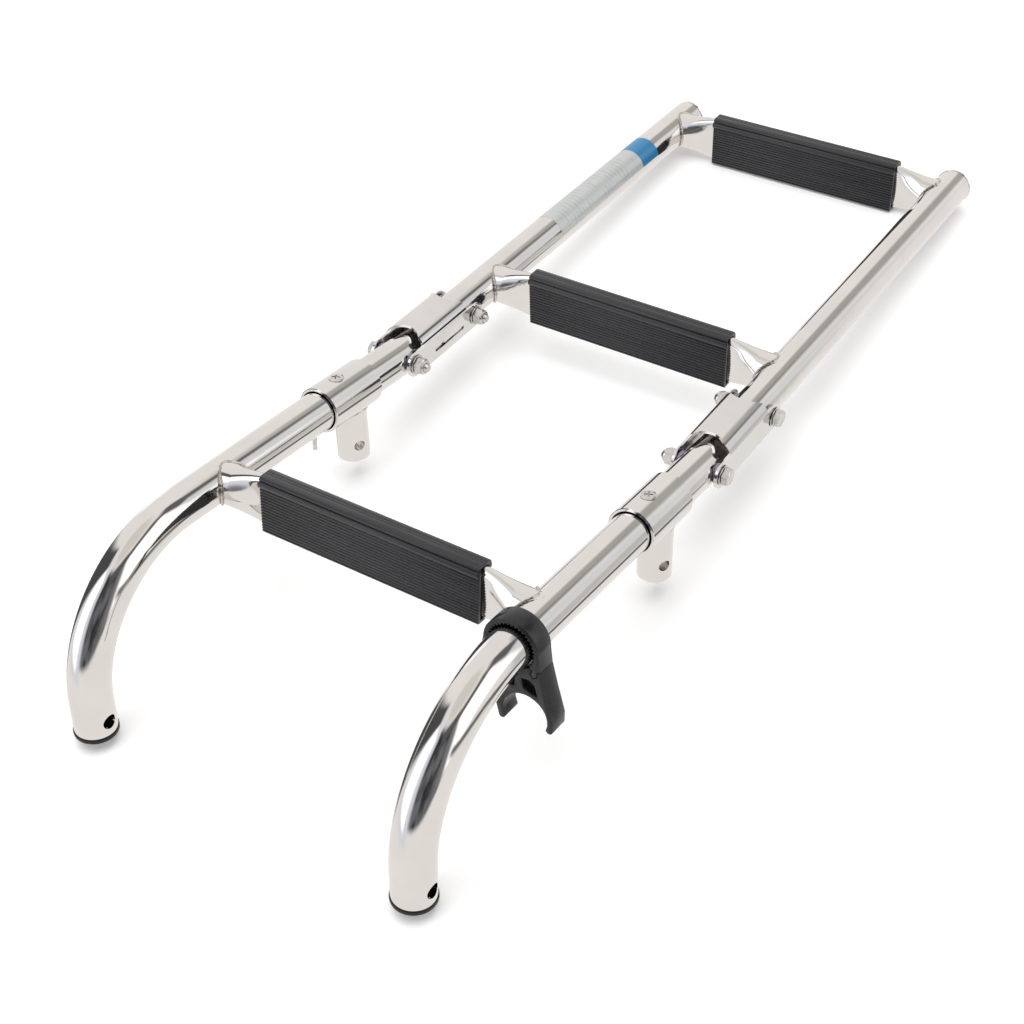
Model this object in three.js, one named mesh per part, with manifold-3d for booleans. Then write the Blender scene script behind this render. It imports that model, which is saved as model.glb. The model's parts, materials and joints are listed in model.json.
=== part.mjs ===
// Folding boarding ladder: two tube sections joined by a pair of two-pivot hinge links.
// Millimetres, +Z up. +X is the ladder's right, +Y runs from the bent feet to the far rail ends.
// The ladder lies on a floor at z = 0, on its two feet and its two far rail ends.
import * as THREE from 'three';
import { mergeVertices } from 'three/addons/utils/BufferGeometryUtils.js';
import Module from 'manifold-3d';

const wasm = await Module();
wasm.setup();

// ---------------------------------------------------------------- driving dimensions
const GAP = 0.3; // clearance between pieces that touch
const TUBE_R = 12.5; // rails and rungs are the same tube
const TUBE_WALL = 1.5;
const RAIL_X = 111; // each rail's axis from the middle of the ladder

// Upper section, measured from the front face of its tread
const BEND_START = -28;
const BEND_RADIUS = 82;
const BEND_ANGLE = THREE.MathUtils.degToRad(92);
const FOOT_LENGTH = 20; // straight tube below the bend
const FOOT_CAP = 3;
const FOOT_HOLE_R = 4.5;
const FOOT_HOLE_UP = 9; // hole centre above the cut end of the tube
const PIVOT_Y = 181;
const OVERHANG = 31; // rail beyond each pivot, inside the link

// Hinge links
const LINK_PITCH = 67.6;
const LINK_REST = THREE.MathUtils.degToRad(5.6); // the ladder sags this much at the first pivot
const LINK_HALF = 15.4;
const LINK_WALL = 1.8;
const ARCH = { base: 4.3, rise: 11.9, power: 2.7 }; // flattened roof above the straight walls
const ARCH_INSET = 9.3; // arch end from each pivot, along the link
const EAR_R = 8.5;
const MOUTH_R = TUBE_R + 1.7; // lets a rail fold a few degrees past square to the link
const SLOT = { from: 21, to: 54, z: -1.5, height: 3 };

// Pivot hardware, M6
const BOLT_R = 3;
const BORE_R = BOLT_R + GAP;
const HEX_R = 10 / Math.sqrt(3); // corner radius of a hexagon 10 across its flats
const WASHER_R = 6.4;
const WASHER_THICK = 0.7;
const HEAD_THICK = 4;
const NUT_THICK = 5;
const NUT_COLLAR = 1.5;
const BOLT_TIP = 25;
const BUSH_R = 4.5;
const BUSH_FLANGE_R = 6.2;
const BUSH_DEPTH = 3.5; // how far a bush reaches into the rail past its wall

// Lower section, measured from its pivot
const TREAD_2 = 34.4;
const TREAD_3 = 297.8;
const LOWER_END = 325;

// Rungs and treads
const RUNG_BEHIND = 6.5; // rung axis behind the tread's front face
const FLAT_HALF = 4.6; // half thickness of the pressed middle of a rung
const ROUND_FROM = 90; // a rung is round beyond this x and flat inside FLAT_TO
const FLAT_TO = 77;
const TREAD_HALF = 74.5;
const RIB_PITCH = 2;
const RIB_DEPTH = 0.55;
const RIB_COUNT = 14;
const BEAD_R = 0.8;

// Leg sockets
const SLEEVE = { from: 99, to: 144.5, outer: 15, inner: 13.3 };
const STUB = { y: 128.8, lean: THREE.MathUtils.degToRad(5), radius: 10.5, bore: 8.9, length: 48.5 };
const STUB_HOLE = { r: 3.6, up: 12, turn: THREE.MathUtils.degToRad(27) };
const SCREW = { y: 117, headR: 4.7, shankR: 2.5, seat: 12.9, rim: 14.8, top: 15.9, tip: 8.6 };

// Pin under the left rail
const PIN = { y: 94, r: 1.5, from: -25.5, to: -8.5 };

// Clip on the right rail, seen along the rail from the feet
const CLIP_FRONT = -24.5;
const CLIP_WIDTH = 12.5;
const RING = { tip: 13.2, root: 14.3, outer: 17, teeth: 26 };
const JAW = { x: 10.3, z: -41, r: 13.6 };
const CLAW_R = 2.1; // rounded tips of the jaw

const SMOOTH = 16; // sides of a tube
const SMALL = 12; // sides of a small round part

// ---------------------------------------------------------------- materials
const look = (color, roughness, metalness) => new THREE.MeshStandardMaterial({ color, roughness, metalness });
const polished = look(0xd9d8d6, 0.12, 1);
const bright = look(0xc9cacc, 0.3, 1);
const treadBlack = look(0x2c2c30, 0.55, 0);
const clipBlack = look(0x3a3a3d, 0.6, 0);
const capBlack = look(0x1d1e20, 0.7, 0);
const bushGrey = look(0x8f8b9e, 0.5, 0);

// ---------------------------------------------------------------- geometry helpers
const AXIS_TURN = {
  x: new THREE.Matrix4().makeBasis(
    new THREE.Vector3(0, 1, 0), new THREE.Vector3(0, 0, 1), new THREE.Vector3(1, 0, 0)),
  y: new THREE.Matrix4().makeBasis(
    new THREE.Vector3(0, 0, 1), new THREE.Vector3(1, 0, 0), new THREE.Vector3(0, 1, 0)),
  z: new THREE.Matrix4(),
};

/** Keeps only position, with shared vertices merged, so that the surface is closed. */
function welded(geometry) {
  const bare = geometry.clone();
  bare.deleteAttribute('normal');
  bare.deleteAttribute('uv');
  return mergeVertices(bare, 1e-4);
}

function toSolid(geometry) {
  const merged = welded(geometry);
  return new wasm.Manifold(new wasm.Mesh({
    numProp: 3,
    vertProperties: new Float32Array(merged.attributes.position.array),
    triVerts: new Uint32Array(merged.index.array),
  }));
}

function toGeometry(solid) {
  const mesh = solid.getMesh();
  const geometry = new THREE.BufferGeometry();
  geometry.setAttribute('position', new THREE.BufferAttribute(mesh.vertProperties, 3));
  geometry.setIndex(new THREE.BufferAttribute(mesh.triVerts, 1));
  geometry.computeVertexNormals();
  return geometry;
}

const join = (first, ...more) => toGeometry(more.reduce((all, g) => all.add(toSolid(g)), toSolid(first)));
const cut = (body, ...tools) => toGeometry(tools.reduce((all, g) => all.subtract(toSolid(g)), toSolid(body)));

/** Round bar along an axis from one station to another; a second radius makes it a cone. */
function rod(axis, radius, from, to, sides = SMALL, endRadius = radius) {
  const geometry = new THREE.CylinderGeometry(endRadius, radius, to - from, sides);
  geometry.rotateX(Math.PI / 2);
  geometry.translate(0, 0, (from + to) / 2);
  return geometry.applyMatrix4(AXIS_TURN[axis]);
}

function box(x0, x1, y0, y1, z0, z1) {
  const geometry = new THREE.BoxGeometry(x1 - x0, y1 - y0, z1 - z0);
  return geometry.translate((x0 + x1) / 2, (y0 + y1) / 2, (z0 + z1) / 2);
}

/** Solid of revolution about an axis, from [radius, height] pairs. */
function turned(axis, profile, sides = SMOOTH) {
  const points = profile.map(([r, h]) => new THREE.Vector2(r, h));
  const geometry = new THREE.LatheGeometry(points, sides);
  geometry.rotateX(Math.PI / 2);
  return geometry.applyMatrix4(AXIS_TURN[axis]);
}

/** Ring of a rectangular section around the x axis. */
function washer(inner, outer, from, to, sides = SMALL) {
  return cut(rod('x', outer, from, to, sides), rod('x', inner, from - 1, to + 1, sides));
}

/** Prism along x of an outline drawn in (y, z). */
function prismX(shape, from, to, segments = 6) {
  const geometry = new THREE.ExtrudeGeometry(shape, { depth: to - from, bevelEnabled: false, curveSegments: segments });
  return geometry.translate(0, 0, from).applyMatrix4(AXIS_TURN.x);
}

/** Prism along y of an outline drawn in (x, z). */
function prismY(shape, from, to, segments = 6) {
  const geometry = new THREE.ExtrudeGeometry(shape, { depth: to - from, bevelEnabled: false, curveSegments: segments });
  return geometry.rotateX(Math.PI / 2).translate(0, to, 0);
}

/** Tube section: a circle with a round hole. */
function tubeSection(outer = TUBE_R, inner = TUBE_R - TUBE_WALL) {
  const circle = (r) => Array.from({ length: SMOOTH }, (_, i) => {
    const turn = (i / SMOOTH) * 2 * Math.PI;
    return new THREE.Vector2(r * Math.cos(turn), r * Math.sin(turn));
  });
  const shape = new THREE.Shape(circle(outer));
  shape.holes.push(new THREE.Path(circle(inner)));
  return shape;
}

/** Path that an extrusion follows with one step per station, so straight lengths cost no steps. */
class StationPath extends THREE.Curve {
  constructor(stations) {
    super();
    this.stations = stations;
  }

  at(u) {
    return this.stations[Math.round(u * (this.stations.length - 1))];
  }

  getPointAt(u, target = new THREE.Vector3()) {
    return target.copy(this.at(u).point);
  }

  getTangentAt(u, target = new THREE.Vector3()) {
    return target.copy(this.at(u).tangent);
  }

  getSpacedPoints() {
    return this.stations.map((station) => station.point.clone());
  }
}

function tubeAlong(stations) {
  const options = { steps: stations.length - 1, extrudePath: new StationPath(stations), bevelEnabled: false };
  return new THREE.ExtrudeGeometry(tubeSection(), options);
}

// ---------------------------------------------------------------- rails
const BEND_STEPS = 8;

/** Centre line of a bent rail in its own plane x = 0, from the hinge end down to the foot. */
function upperRailStations() {
  const forward = new THREE.Vector3(0, -1, 0);
  const stations = [{ point: new THREE.Vector3(0, PIVOT_Y + OVERHANG, 0), tangent: forward }];
  for (let i = 0; i <= BEND_STEPS; i += 1) {
    const turn = (i / BEND_STEPS) * BEND_ANGLE;
    const y = BEND_START - BEND_RADIUS * Math.sin(turn);
    const z = BEND_RADIUS * (Math.cos(turn) - 1);
    const tangent = new THREE.Vector3(0, -Math.cos(turn), -Math.sin(turn));
    stations.push({ point: new THREE.Vector3(0, y, z), tangent });
  }
  const last = stations[stations.length - 1];
  stations.push({ point: last.point.clone().addScaledVector(last.tangent, FOOT_LENGTH), tangent: last.tangent });
  return stations;
}

const railStations = upperRailStations();
const footEnd = railStations[railStations.length - 1].point;

/** Moves a tool made around the foot's axis, with its top at z = 0, to the cut end of the foot. */
const atFoot = (geometry) => geometry
  .rotateX(BEND_ANGLE - Math.PI / 2)
  .translate(0, footEnd.y, footEnd.z);

function upperRailGeometry(side) {
  const tools = [
    rod('x', BUSH_R + GAP, -2 * TUBE_R, 2 * TUBE_R).translate(0, PIVOT_Y, 0),
    rod('z', SCREW.shankR + GAP, 0, 2 * TUBE_R).translate(0, SCREW.y, 0),
    atFoot(rod('x', FOOT_HOLE_R, -2 * TUBE_R, 2 * TUBE_R).translate(0, 0, FOOT_HOLE_UP)),
  ];
  if (side < 0) tools.push(rod('z', PIN.r + GAP, -2 * TUBE_R, 0).translate(0, PIN.y, 0));
  return cut(tubeAlong(railStations), ...tools);
}

function lowerRailGeometry() {
  const forward = new THREE.Vector3(0, 1, 0);
  const stations = [-OVERHANG, LOWER_END].map((y) => ({ point: new THREE.Vector3(0, y, 0), tangent: forward }));
  return cut(tubeAlong(stations), rod('x', BUSH_R + GAP, -2 * TUBE_R, 2 * TUBE_R));
}

/** Black plug in a foot: a flange under the tube and a hollow spigot inside it. */
function footCapGeometry() {
  const spigot = TUBE_R - TUBE_WALL - GAP;
  return atFoot(turned('z', [
    [0, -GAP - FOOT_CAP], [12, -GAP - FOOT_CAP], [13, -GAP - FOOT_CAP + 1], [13, -GAP],
    [spigot, -GAP], [spigot, 3.2], [spigot - 2, 3.2], [spigot - 2, -GAP - 1], [0, -GAP - 1],
  ]));
}

/** Disc that closes the far end of a lower rail. */
function endCapGeometry() {
  const spigot = TUBE_R - TUBE_WALL - GAP;
  return turned('y', [
    [0, -0.5], [spigot - 2, -0.5], [spigot - 2, -6], [spigot, -6], [spigot, GAP],
    [TUBE_R, GAP], [TUBE_R, 1.4], [11.7, 2], [0, 2],
  ]);
}

// ---------------------------------------------------------------- rungs and treads
/** Point on a flattened tube's section that lies the same way round as `turn` on the round one. */
function flattened(turn, half, straight) {
  const quarter = (Math.PI / 2) * half;
  const total = 4 * (quarter + straight);
  const along = ((turn / (2 * Math.PI)) % 1) * total;
  const fold = along > total / 2 ? total - along : along;
  const top = Math.min(fold, total / 2 - fold);
  const angle = Math.max(0, top - straight) / half;
  const y = half * Math.cos(angle);
  const z = Math.min(top, straight) + half * Math.sin(angle);
  return [fold > total / 4 ? -y : y, along > total / 2 ? -z : z];
}

/** Rung: a tube across the ladder, pressed flat and tall between the rails where the tread sits. */
function rungGeometry() {
  const across = new THREE.Vector3(1, 0, 0);
  const reach = RAIL_X - 2;
  const steps = [reach, ROUND_FROM, ROUND_FROM - 4, FLAT_TO + 4, FLAT_TO];
  const xs = [...steps.map((x) => -x), ...[...steps].reverse()];
  const tube = tubeAlong(xs.map((x) => ({ point: new THREE.Vector3(x, 0, 0), tangent: across })));
  const position = tube.attributes.position;
  const straight = (Math.PI / 2) * (TUBE_R - FLAT_HALF);
  for (let i = 0; i < position.count; i += 1) {
    const [x, y, z] = [position.getX(i), position.getY(i), position.getZ(i)];
    const radius = Math.hypot(y, z);
    const turn = (Math.atan2(z, y) + 2 * Math.PI) % (2 * Math.PI);
    const [flatY, flatZ] = flattened(turn, FLAT_HALF - (TUBE_R - radius), straight);
    const press = 1 - THREE.MathUtils.smoothstep(Math.abs(x), FLAT_TO, ROUND_FROM);
    position.setY(i, THREE.MathUtils.lerp(y, flatY, press));
    position.setZ(i, THREE.MathUtils.lerp(z, flatZ, press));
  }
  const rails = [-RAIL_X, RAIL_X].map((x) => rod('y', TUBE_R + GAP, -40, 40, SMOOTH).translate(x, 0, 0));
  return cut(tube, ...rails);
}

/** Tread: a C-shaped extrusion around the flat rung, with a ribbed front, a nose and lips behind. */
function treadGeometry() {
  const flatHeight = FLAT_HALF + (Math.PI / 2) * (TUBE_R - FLAT_HALF);
  const inner = { front: RUNG_BEHIND - FLAT_HALF - GAP, back: RUNG_BEHIND + FLAT_HALF + GAP, z: flatHeight + GAP };
  const outer = { back: inner.back + 1.6, z: inner.z + 1.9 };
  const lip = inner.z - 4;
  const ribsFrom = -17;
  const shape = new THREE.Shape();
  shape.moveTo(inner.back, -lip);
  shape.lineTo(outer.back, -lip);
  shape.quadraticCurveTo(outer.back, -outer.z, outer.back - 4, -outer.z);
  shape.lineTo(1, -outer.z);
  shape.lineTo(0, -outer.z + 1);
  for (let i = 0; i < RIB_COUNT; i += 1) {
    const z = ribsFrom + i * RIB_PITCH;
    shape.lineTo(0, z);
    shape.lineTo(RIB_DEPTH, z + RIB_PITCH / 2);
  }
  shape.lineTo(0, ribsFrom + RIB_COUNT * RIB_PITCH);
  shape.lineTo(-1.3, 13.4);
  shape.lineTo(-1.6, 15);
  shape.lineTo(-0.9, 16.2);
  shape.lineTo(0.5, 16.4);
  shape.lineTo(-0.3, 17.2);
  shape.quadraticCurveTo(1, outer.z, 5, outer.z);
  shape.lineTo(outer.back - 4, outer.z);
  shape.quadraticCurveTo(outer.back, outer.z, outer.back, lip);
  shape.lineTo(inner.back, lip);
  shape.quadraticCurveTo(inner.back, inner.z, inner.back - 3.4, inner.z);
  shape.lineTo(inner.front, inner.z);
  shape.lineTo(inner.front, -inner.z);
  shape.lineTo(inner.back - 3.4, -inner.z);
  shape.quadraticCurveTo(inner.back, -inner.z, inner.back, -lip);
  return prismX(shape, -TREAD_HALF, TREAD_HALF, 3);
}

/** Weld bead that follows the seam between a rung and the rail at x = side * RAIL_X. */
function weldGeometry(side) {
  const reach = TUBE_R + BEAD_R + GAP;
  const bead = new THREE.TorusGeometry(reach, BEAD_R, 4, 16);
  const position = bead.attributes.position;
  for (let i = 0; i < position.count; i += 1) {
    const turn = Math.atan2(position.getY(i), position.getX(i));
    const radius = Math.hypot(position.getX(i), position.getY(i));
    const inward = Math.sqrt(reach ** 2 - (0.96 * reach * Math.sin(turn)) ** 2);
    const x = side * (RAIL_X - inward) + position.getZ(i);
    position.setXYZ(i, x, radius * Math.cos(turn), radius * Math.sin(turn));
  }
  return bead;
}

// ---------------------------------------------------------------- leg sockets
const leaning = (geometry) => geometry.rotateX(STUB.lean).translate(0, STUB.y, 0);

/** Sleeve around the rail with a tube stub below it, open at the bottom. */
function socketGeometry() {
  const sleeve = rod('y', SLEEVE.outer, SLEEVE.from, SLEEVE.to, SMOOTH);
  const stub = leaning(rod('z', STUB.radius, -STUB.length, 0, SMOOTH));
  return cut(
    join(sleeve, stub),
    rod('y', SLEEVE.inner, SLEEVE.from - 5, SLEEVE.to + 5, SMOOTH),
    leaning(rod('z', STUB.bore, -STUB.length - 5, -SLEEVE.outer - 1, SMOOTH)),
    leaning(rod('x', STUB_HOLE.r, -20, 20).rotateZ(-STUB_HOLE.turn).translate(0, 0, STUB_HOLE.up - STUB.length)),
    rod('z', SCREW.shankR + GAP, 0, 20).translate(0, SCREW.y, 0),
    rod('z', SCREW.shankR + GAP, SCREW.seat - GAP, SCREW.rim + 1, SMALL, SCREW.headR + 1.5).translate(0, SCREW.y, 0),
  );
}

/** Raised countersunk screw with a cross recess. */
function screwGeometry() {
  const head = turned('z', [
    [0, SCREW.tip], [SCREW.shankR, SCREW.tip + 0.8], [SCREW.shankR, SCREW.seat],
    [SCREW.headR, SCREW.rim], [SCREW.headR * 0.7, SCREW.top - 0.35], [0, SCREW.top],
  ], SMALL);
  const [long, narrow, deep] = [2.7, 0.6, SCREW.top - 1.5];
  const recess = join(
    box(-long, long, -narrow, narrow, deep, SCREW.top + 1),
    box(-narrow, narrow, -long, long, deep, SCREW.top + 1),
  );
  return cut(head, recess).translate(0, SCREW.y, 0);
}

// ---------------------------------------------------------------- hinge links and their hardware
/** Side plate outline in (y, z): a straight strip with a round ear at each pivot. */
function platePath() {
  const shape = new THREE.Shape();
  shape.absarc(0, 0, EAR_R, Math.PI / 2, (3 * Math.PI) / 2, false);
  shape.absarc(LINK_PITCH, 0, EAR_R, -Math.PI / 2, Math.PI / 2, false);
  return shape;
}

/** Points along the roof in (x, z), from right to left, `inset` inside its outer face. */
function roofPoints(inset, count = 24) {
  const squareness = 2 / ARCH.power;
  return Array.from({ length: count + 1 }, (_, i) => {
    const turn = (i / count) * Math.PI;
    const along = Math.sign(Math.cos(turn)) * Math.abs(Math.cos(turn)) ** squareness;
    const up = Math.sin(turn) ** squareness;
    return new THREE.Vector2((LINK_HALF - inset) * along, ARCH.base + (ARCH.rise - inset) * up);
  });
}

/** Arch outline in (x, z): a flattened roof on two straight walls, open below. */
function archPath() {
  const foot = (x) => new THREE.Vector2(x, -EAR_R);
  const inner = LINK_HALF - LINK_WALL;
  return new THREE.Shape([
    foot(LINK_HALF), ...roofPoints(0), foot(-LINK_HALF),
    foot(-inner), ...roofPoints(LINK_WALL).reverse(), foot(inner),
  ]);
}

/** Link of one rail; `side` is +1 on the right. The slot is in the wall that faces the ladder's middle. */
function linkGeometry(side) {
  const inner = LINK_HALF - LINK_WALL;
  const plates = [[-LINK_HALF, -inner], [inner, LINK_HALF]].map(([a, b]) => prismX(platePath(), a, b, 8));
  const arch = prismY(archPath(), ARCH_INSET, LINK_PITCH - ARCH_INSET, 12);
  const slotX = [-side * (LINK_HALF + 1), -side * (inner - 1)].sort((a, b) => a - b);
  const pivots = [0, LINK_PITCH];
  return cut(
    join(arch, ...plates),
    ...pivots.map((y) => rod('z', MOUTH_R, 0, 40, SMOOTH * 2).translate(0, y, 0)),
    ...pivots.map((y) => rod('x', BORE_R, -20, 20).translate(0, y, 0)),
    box(...slotX, SLOT.from, SLOT.to, SLOT.z - SLOT.height / 2, SLOT.z + SLOT.height / 2),
  );
}

const plateFace = LINK_HALF + GAP;
const seatFace = plateFace + WASHER_THICK + GAP;
const hexagon = (from, to) => rod('x', HEX_R, from, to, 6);

/** Hexagon bolt whose head lies on the side that `side` gives. */
function boltGeometry(side) {
  const span = (a, b) => [side * a, side * b].sort((p, q) => p - q);
  const chamfer = rod('x', HEX_R - 0.2, ...span(seatFace, seatFace + HEAD_THICK), SMALL);
  const head = toGeometry(toSolid(hexagon(...span(seatFace, seatFace + HEAD_THICK))).intersect(toSolid(chamfer)));
  return join(head, rod('x', BOLT_R, ...span(-BOLT_TIP, seatFace + 1)));
}

/** Locking nut: a hexagon with a round collar, on the side away from the bolt's head. */
function nutGeometry(side) {
  const span = (a, b) => [-side * a, -side * b].sort((p, q) => p - q);
  return cut(
    join(hexagon(...span(seatFace, seatFace + NUT_THICK)),
      rod('x', HEX_R - 1.3, ...span(seatFace + 1, seatFace + NUT_THICK + NUT_COLLAR))),
    rod('x', BORE_R, -40, 40),
  );
}

/** Plastic bush: a spigot through the rail's wall and a flange that fills up to the link's plate. */
function bushGeometry(side) {
  const face = LINK_HALF - LINK_WALL - GAP;
  const span = (a, b) => [side * a, side * b].sort((p, q) => p - q);
  const flange = cut(rod('x', BUSH_FLANGE_R, ...span(TUBE_R - 2, face)), rod('y', TUBE_R + GAP, -20, 20, SMOOTH));
  const spigot = rod('x', BUSH_R, ...span(TUBE_R - BUSH_DEPTH, face));
  return cut(join(flange, spigot), rod('x', BORE_R, -40, 40));
}

// ---------------------------------------------------------------- clip
// Seam between strap and jaw on the right-hand side, from the ring's inside to its outside.
const SEAM = [[11.2, -8.6], [13.5, -9.6], [12.4, -12.1], [14.3, -14.2], [16.6, -12.7], [16.5, -9.6], [18.4, -9.1]];

/** The seam moved sideways by `offset` (positive is up, into the strap), as [x, z] pairs. */
function seam(side, offset) {
  const points = SEAM.map(([x, z]) => new THREE.Vector2(x, z));
  return points.map((point, i) => {
    const before = points[Math.max(i, 1)].clone().sub(points[Math.max(i, 1) - 1]).normalize();
    const j = Math.min(i, points.length - 2);
    const after = points[j + 1].clone().sub(points[j]).normalize();
    const mitre = before.clone().add(after).normalize();
    const move = offset / mitre.dot(before);
    return [side * (point.x - mitre.y * move), point.y + mitre.x * move];
  });
}

/** Strap: the toothed upper part of the ring, hooked into the jaw at both ends. */
function strapGeometry() {
  const start = Math.atan2(SEAM[0][1], SEAM[0][0]);
  const sweep = Math.PI - 2 * start;
  const inside = Array.from({ length: RING.teeth * 2 + 1 }, (_, i) => {
    const turn = start + (i / (RING.teeth * 2)) * sweep;
    const radius = i % 2 ? RING.root : RING.tip;
    return [radius * Math.cos(turn), radius * Math.sin(turn)];
  });
  const outside = Array.from({ length: 15 }, (_, i) => {
    const turn = (i / 14) * Math.PI;
    return [RING.outer * Math.cos(turn), RING.outer * Math.sin(turn)];
  });
  const ends = [seam(1, GAP / 2), seam(-1, GAP / 2).reverse()];
  const loop = [...ends[0], ...outside, ...ends[1], ...inside.slice(1, -1).reverse()];
  return prismY(new THREE.Shape(loop.map(([x, z]) => new THREE.Vector2(x, z))), CLIP_FRONT, CLIP_FRONT + CLIP_WIDTH);
}

/** Window through the jaw, drawn as [x, z] corners, anticlockwise. */
const windowPath = (corners) => new THREE.Path(corners.map(([x, z]) => new THREE.Vector2(x, z)));

/** Jaw: closes the ring below and carries a C-shaped mouth that grips a second rail. */
function jawGeometry() {
  const shape = new THREE.Shape();
  const right = seam(1, -GAP / 2);
  const left = seam(-1, -GAP / 2);
  shape.moveTo(...right[right.length - 1]);
  shape.lineTo(21.9, -21.5);
  shape.lineTo(24.7, -30.3);
  shape.lineTo(27.2, -38.1);
  shape.absarc(25.3, -44.6, CLAW_R, 0, -Math.PI, true);
  shape.absarc(JAW.x, JAW.z, JAW.r, -0.1, Math.PI + 0.15, false);
  shape.absarc(-3.9, -47.4, CLAW_R, 0.2, -Math.PI * 0.8, true);
  shape.lineTo(-8.6, -38);
  shape.lineTo(-13, -25);
  [...left].reverse().forEach(([x, z]) => shape.lineTo(x, z));
  const under = Math.atan2(left[0][1], left[0][0]) + 0.12;
  shape.absarc(0, 0, RING.tip + 0.4, under, -Math.PI - under, false);
  right.slice(0, -1).forEach(([x, z]) => shape.lineTo(x, z));
  shape.holes.push(windowPath([[8.4, -22.9], [13.5, -25], [17.2, -25.4], [15.2, -18.4], [11.6, -16.4], [7.1, -17.2]]));
  shape.holes.push(windowPath([[3, -24.3], [3.4, -17], [-2, -16.4], [-7, -18.4], [-7.6, -25]]));
  return prismY(shape, CLIP_FRONT, CLIP_FRONT + CLIP_WIDTH, 16);
}

// ---------------------------------------------------------------- assembly
function part(group, name, geometry, material, x = 0, y = 0, z = 0) {
  const mesh = new THREE.Mesh(welded(geometry), material);
  mesh.name = name;
  mesh.position.set(x, y, z);
  group.add(mesh);
}

const SIDES = [['left', -1], ['right', 1]];

/** A rung with its tread and its two weld beads; y is the tread's front face. */
function addStep(group, name, y) {
  part(group, `${name}_rung`, rungGeometry(), polished, 0, y + RUNG_BEHIND);
  part(group, `${name}_tread`, treadGeometry(), treadBlack, 0, y);
  SIDES.forEach(([word, side]) => {
    part(group, `${name}_${word}_weld`, weldGeometry(side), bright, 0, y + RUNG_BEHIND);
  });
}

function addBushes(group, word, side, y, label) {
  part(group, `${word}_${label}_outer_bush`, bushGeometry(side), bushGrey, side * RAIL_X, y);
  part(group, `${word}_${label}_inner_bush`, bushGeometry(-side), bushGrey, side * RAIL_X, y);
}

function upperSection() {
  const group = new THREE.Group();
  addStep(group, 'upper', 0);
  SIDES.forEach(([word, side]) => {
    const x = side * RAIL_X;
    part(group, `${word}_upper_rail`, upperRailGeometry(side), polished, x);
    part(group, `${word}_foot_cap`, footCapGeometry(), capBlack, x);
    part(group, `${word}_leg_socket`, socketGeometry(), polished, x);
    part(group, `${word}_socket_screw`, screwGeometry(), bright, x);
    addBushes(group, word, side, PIVOT_Y, 'upper');
  });
  part(group, 'left_rail_pin', rod('z', PIN.r, PIN.from, PIN.to, 10), bright, -RAIL_X, PIN.y);
  part(group, 'clip_strap', strapGeometry(), clipBlack, RAIL_X);
  part(group, 'clip_jaw', jawGeometry(), clipBlack, RAIL_X);
  return group;
}

function lowerSection() {
  const group = new THREE.Group();
  addStep(group, 'middle', TREAD_2);
  addStep(group, 'end', TREAD_3);
  SIDES.forEach(([word, side]) => {
    part(group, `${word}_lower_rail`, lowerRailGeometry(), polished, side * RAIL_X);
    part(group, `${word}_end_cap`, endCapGeometry(), bright, side * RAIL_X, LOWER_END);
    addBushes(group, word, side, 0, 'lower');
  });
  return group;
}

function hingeLink(word, side) {
  const group = new THREE.Group();
  part(group, `${word}_link`, linkGeometry(side), polished);
  [['upper', 0], ['lower', LINK_PITCH]].forEach(([label, y]) => {
    part(group, `${word}_${label}_bolt`, boltGeometry(side), bright, 0, y);
    part(group, `${word}_${label}_nut`, nutGeometry(side), bright, 0, y);
    const faces = [plateFace, plateFace + WASHER_THICK];
    part(group, `${word}_${label}_outer_washer`,
      washer(BORE_R, WASHER_R, ...faces.map((f) => side * f).sort((a, b) => a - b)), bright, 0, y);
    part(group, `${word}_${label}_inner_washer`,
      washer(BORE_R, WASHER_R, ...faces.map((f) => -side * f).sort((a, b) => a - b)), bright, 0, y);
  });
  group.position.set(side * RAIL_X, PIVOT_Y, 0);
  group.rotation.x = LINK_REST;
  return group;
}

/** The whole ladder in the upper section's own frame: rails in the plane z = 0. */
function ladder() {
  const group = upperSection();
  SIDES.forEach(([word, side]) => group.add(hingeLink(word, side)));
  const lower = lowerSection();
  lower.position.set(0, PIVOT_Y + LINK_PITCH * Math.cos(LINK_REST), LINK_PITCH * Math.sin(LINK_REST));
  lower.rotation.x = LINK_REST;
  group.add(lower);
  return group;
}

/** Pitch that lays the inner edge of the foot caps and the far rail ends on one level. */
function restPitch() {
  const lean = BEND_ANGLE - Math.PI / 2;
  const foot = new THREE.Vector2(footEnd.y, footEnd.z)
    .add(new THREE.Vector2(Math.sin(lean), -Math.cos(lean)).multiplyScalar(GAP + FOOT_CAP))
    .add(new THREE.Vector2(Math.cos(lean), Math.sin(lean)).multiplyScalar(12));
  const reach = new THREE.Vector2(LINK_PITCH + LOWER_END + 1.4, -TUBE_R).rotateAround(new THREE.Vector2(), LINK_REST);
  const end = new THREE.Vector2(PIVOT_Y, 0).add(reach);
  return Math.atan2(end.y - foot.y, end.x - foot.x);
}

const assembly = ladder();
assembly.rotation.x = -restPitch();

const object = new THREE.Group();
object.name = 'boarding_ladder';
object.add(assembly);
object.updateMatrixWorld(true);

// The origin is under the middle of the ladder, on the floor.
const extent = new THREE.Box3().setFromObject(object, true);
assembly.position.set(0, -(extent.min.y + extent.max.y) / 2, -extent.min.z);
object.updateMatrixWorld(true);

export default object;
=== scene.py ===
"""Folding boarding ladder for Blender: a finer piece for each CAD node, with materials, light and camera.

Pieces are drawn in millimetres in their own section's frame, as in the CAD source, then laid in the
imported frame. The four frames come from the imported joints.
"""
import json
import math
import bmesh
import bpy
from mathutils import Matrix, Vector, noise


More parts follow.
